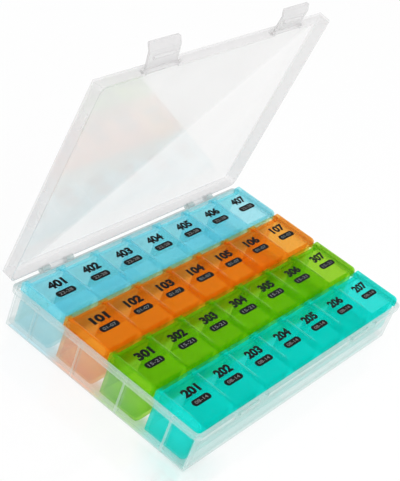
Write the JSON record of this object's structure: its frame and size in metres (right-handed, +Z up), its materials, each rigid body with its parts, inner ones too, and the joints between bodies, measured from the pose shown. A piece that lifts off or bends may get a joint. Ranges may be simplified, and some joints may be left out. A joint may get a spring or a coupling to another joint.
{
  "type": "pill organizer",
  "caption": "Clear hinged case with snap latches holding lift-out coloured strips of lidded compartments, for sorting pills by day and week",
  "frame": {"origin": "centre of the case's flat underside", "axes": "+X along the strips from the first day to the last, +Y from the front to the hinge side, +Z up"},
  "size_m": [0.2208, 0.153, 0.1887],
  "materials": {
    "clear_case": "clear frosted plastic with a soft sheen",
    "teal": "translucent teal plastic with a soft sheen",
    "green": "translucent green plastic with a soft sheen",
    "orange": "translucent orange plastic with a soft sheen",
    "sky_blue": "translucent sky blue plastic with a soft sheen"
  },
  "bodies": {
    "case": {"case_base": "clear_case"},
    "case_lid": {"case_lid": "clear_case"},
    "latch_left": {"latch_left": "clear_case"},
    "latch_right": {"latch_right": "clear_case"},
    "strip_1": {"strip_1_tray": "teal"},
    "strip_1_lid_1": {"strip_1_lid_1": "teal"},
    "strip_1_lid_2": {"strip_1_lid_2": "teal"},
    "strip_1_lid_3": {"strip_1_lid_3": "teal"},
    "strip_1_lid_4": {"strip_1_lid_4": "teal"},
    "strip_1_lid_5": {"strip_1_lid_5": "teal"},
    "strip_1_lid_6": {"strip_1_lid_6": "teal"},
    "strip_1_lid_7": {"strip_1_lid_7": "teal"},
    "strip_2": {"strip_2_tray": "green"},
    "strip_2_lid_1": {"strip_2_lid_1": "green"},
    "strip_2_lid_2": {"strip_2_lid_2": "green"},
    "strip_2_lid_3": {"strip_2_lid_3": "green"},
    "strip_2_lid_4": {"strip_2_lid_4": "green"},
    "strip_2_lid_5": {"strip_2_lid_5": "green"},
    "strip_2_lid_6": {"strip_2_lid_6": "green"},
    "strip_2_lid_7": {"strip_2_lid_7": "green"},
    "strip_3": {"strip_3_tray": "orange"},
    "strip_3_lid_1": {"strip_3_lid_1": "orange"},
    "strip_3_lid_2": {"strip_3_lid_2": "orange"},
    "strip_3_lid_3": {"strip_3_lid_3": "orange"},
    "strip_3_lid_4": {"strip_3_lid_4": "orange"},
    "strip_3_lid_5": {"strip_3_lid_5": "orange"},
    "strip_3_lid_6": {"strip_3_lid_6": "orange"},
    "strip_3_lid_7": {"strip_3_lid_7": "orange"},
    "strip_4": {"strip_4_tray": "sky_blue"},
    "strip_4_lid_1": {"strip_4_lid_1": "sky_blue"},
    "strip_4_lid_2": {"strip_4_lid_2": "sky_blue"},
    "strip_4_lid_3": {"strip_4_lid_3": "sky_blue"},
    "strip_4_lid_4": {"strip_4_lid_4": "sky_blue"},
    "strip_4_lid_5": {"strip_4_lid_5": "sky_blue"},
    "strip_4_lid_6": {"strip_4_lid_6": "sky_blue"},
    "strip_4_lid_7": {"strip_4_lid_7": "sky_blue"}
  },
  "joints": [
    {"name": "case_lid_hinge", "type": "hinge", "parent": "case", "child": "case_lid", "pos_m": [0, 0.07325, 0.02815], "axis": [-1, 0, 0], "range_deg": [-81.5, 98.5]},
    {"name": "latch_left_hinge", "type": "hinge", "parent": "case_lid", "child": "latch_left", "pos_m": [0, 0.05351, 0.17242], "axis": [-1, 0, 0], "range_deg": [-104, 18]},
    {"name": "latch_right_hinge", "type": "hinge", "parent": "case_lid", "child": "latch_right", "pos_m": [0, 0.05351, 0.17242], "axis": [-1, 0, 0], "range_deg": [-88, 34]},
    {"name": "strip_1_lift", "type": "slide", "parent": "case", "child": "strip_1", "axis": [0, 0, 1], "range_m": [0, 0.04]},
    {"name": "strip_2_lift", "type": "slide", "parent": "case", "child": "strip_2", "axis": [0, 0, 1], "range_m": [0, 0.04]},
    {"name": "strip_3_lift", "type": "slide", "parent": "case", "child": "strip_3", "axis": [0, 0, 1], "range_m": [0, 0.04]},
    {"name": "strip_4_lift", "type": "slide", "parent": "case", "child": "strip_4", "axis": [0, 0, 1], "range_m": [0, 0.04]},
    {"name": "strip_1_lid_1_hinge", "type": "hinge", "parent": "strip_1", "child": "strip_1_lid_1", "pos_m": [-0.09, -0.03765, 0.03115], "axis": [-1, 0, 0], "range_deg": [0, 95]},
    {"name": "strip_1_lid_2_hinge", "type": "hinge", "parent": "strip_1", "child": "strip_1_lid_2", "pos_m": [-0.06, -0.03765, 0.03115], "axis": [-1, 0, 0], "range_deg": [0, 95]},
    {"name": "strip_1_lid_3_hinge", "type": "hinge", "parent": "strip_1", "child": "strip_1_lid_3", "pos_m": [-0.03, -0.03765, 0.03115], "axis": [-1, 0, 0], "range_deg": [0, 95]},
    {"name": "strip_1_lid_4_hinge", "type": "hinge", "parent": "strip_1", "child": "strip_1_lid_4", "pos_m": [0, -0.03765, 0.03115], "axis": [-1, 0, 0], "range_deg": [0, 95]},
    {"name": "strip_1_lid_5_hinge", "type": "hinge", "parent": "strip_1", "child": "strip_1_lid_5", "pos_m": [0.03, -0.03765, 0.03115], "axis": [-1, 0, 0], "range_deg": [0, 95]},
    {"name": "strip_1_lid_6_hinge", "type": "hinge", "parent": "strip_1", "child": "strip_1_lid_6", "pos_m": [0.06, -0.03765, 0.03115], "axis": [-1, 0, 0], "range_deg": [0, 95]},
    {"name": "strip_1_lid_7_hinge", "type": "hinge", "parent": "strip_1", "child": "strip_1_lid_7", "pos_m": [0.09, -0.03765, 0.03115], "axis": [-1, 0, 0], "range_deg": [0, 95]},
    {"name": "strip_2_lid_1_hinge", "type": "hinge", "parent": "strip_2", "child": "strip_2_lid_1", "pos_m": [-0.09, -0.00325, 0.03115], "axis": [-1, 0, 0], "range_deg": [0, 95]},
    {"name": "strip_2_lid_2_hinge", "type": "hinge", "parent": "strip_2", "child": "strip_2_lid_2", "pos_m": [-0.06, -0.00325, 0.03115], "axis": [-1, 0, 0], "range_deg": [0, 95]},
    {"name": "strip_2_lid_3_hinge", "type": "hinge", "parent": "strip_2", "child": "strip_2_lid_3", "pos_m": [-0.03, -0.00325, 0.03115], "axis": [-1, 0, 0], "range_deg": [0, 95]},
    {"name": "strip_2_lid_4_hinge", "type": "hinge", "parent": "strip_2", "child": "strip_2_lid_4", "pos_m": [0, -0.00325, 0.03115], "axis": [-1, 0, 0], "range_deg": [0, 95]},
    {"name": "strip_2_lid_5_hinge", "type": "hinge", "parent": "strip_2", "child": "strip_2_lid_5", "pos_m": [0.03, -0.00325, 0.03115], "axis": [-1, 0, 0], "range_deg": [0, 95]},
    {"name": "strip_2_lid_6_hinge", "type": "hinge", "parent": "strip_2", "child": "strip_2_lid_6", "pos_m": [0.06, -0.00325, 0.03115], "axis": [-1, 0, 0], "range_deg": [0, 95]},
    {"name": "strip_2_lid_7_hinge", "type": "hinge", "parent": "strip_2", "child": "strip_2_lid_7", "pos_m": [0.09, -0.00325, 0.03115], "axis": [-1, 0, 0], "range_deg": [0, 95]},
    {"name": "strip_3_lid_1_hinge", "type": "hinge", "parent": "strip_3", "child": "strip_3_lid_1", "pos_m": [-0.09, 0.03115, 0.03115], "axis": [-1, 0, 0], "range_deg": [0, 95]},
    {"name": "strip_3_lid_2_hinge", "type": "hinge", "parent": "strip_3", "child": "strip_3_lid_2", "pos_m": [-0.06, 0.03115, 0.03115], "axis": [-1, 0, 0], "range_deg": [0, 95]},
    {"name": "strip_3_lid_3_hinge", "type": "hinge", "parent": "strip_3", "child": "strip_3_lid_3", "pos_m": [-0.03, 0.03115, 0.03115], "axis": [-1, 0, 0], "range_deg": [0, 95]},
    {"name": "strip_3_lid_4_hinge", "type": "hinge", "parent": "strip_3", "child": "strip_3_lid_4", "pos_m": [0, 0.03115, 0.03115], "axis": [-1, 0, 0], "range_deg": [0, 95]},
    {"name": "strip_3_lid_5_hinge", "type": "hinge", "parent": "strip_3", "child": "strip_3_lid_5", "pos_m": [0.03, 0.03115, 0.03115], "axis": [-1, 0, 0], "range_deg": [0, 95]},
    {"name": "strip_3_lid_6_hinge", "type": "hinge", "parent": "strip_3", "child": "strip_3_lid_6", "pos_m": [0.06, 0.03115, 0.03115], "axis": [-1, 0, 0], "range_deg": [0, 95]},
    {"name": "strip_3_lid_7_hinge", "type": "hinge", "parent": "strip_3", "child": "strip_3_lid_7", "pos_m": [0.09, 0.03115, 0.03115], "axis": [-1, 0, 0], "range_deg": [0, 95]},
    {"name": "strip_4_lid_1_hinge", "type": "hinge", "parent": "strip_4", "child": "strip_4_lid_1", "pos_m": [-0.09, 0.06555, 0.03115], "axis": [-1, 0, 0], "range_deg": [0, 95]},
    {"name": "strip_4_lid_2_hinge", "type": "hinge", "parent": "strip_4", "child": "strip_4_lid_2", "pos_m": [-0.06, 0.06555, 0.03115], "axis": [-1, 0, 0], "range_deg": [0, 95]},
    {"name": "strip_4_lid_3_hinge", "type": "hinge", "parent": "strip_4", "child": "strip_4_lid_3", "pos_m": [-0.03, 0.06555, 0.03115], "axis": [-1, 0, 0], "range_deg": [0, 95]},
    {"name": "strip_4_lid_4_hinge", "type": "hinge", "parent": "strip_4", "child": "strip_4_lid_4", "pos_m": [0, 0.06555, 0.03115], "axis": [-1, 0, 0], "range_deg": [0, 95]},
    {"name": "strip_4_lid_5_hinge", "type": "hinge", "parent": "strip_4", "child": "strip_4_lid_5", "pos_m": [0.03, 0.06555, 0.03115], "axis": [-1, 0, 0], "range_deg": [0, 95]},
    {"name": "strip_4_lid_6_hinge", "type": "hinge", "parent": "strip_4", "child": "strip_4_lid_6", "pos_m": [0.06, 0.06555, 0.03115], "axis": [-1, 0, 0], "range_deg": [0, 95]},
    {"name": "strip_4_lid_7_hinge", "type": "hinge", "parent": "strip_4", "child": "strip_4_lid_7", "pos_m": [0.09, 0.06555, 0.03115], "axis": [-1, 0, 0], "range_deg": [0, 95]}
  ]
}
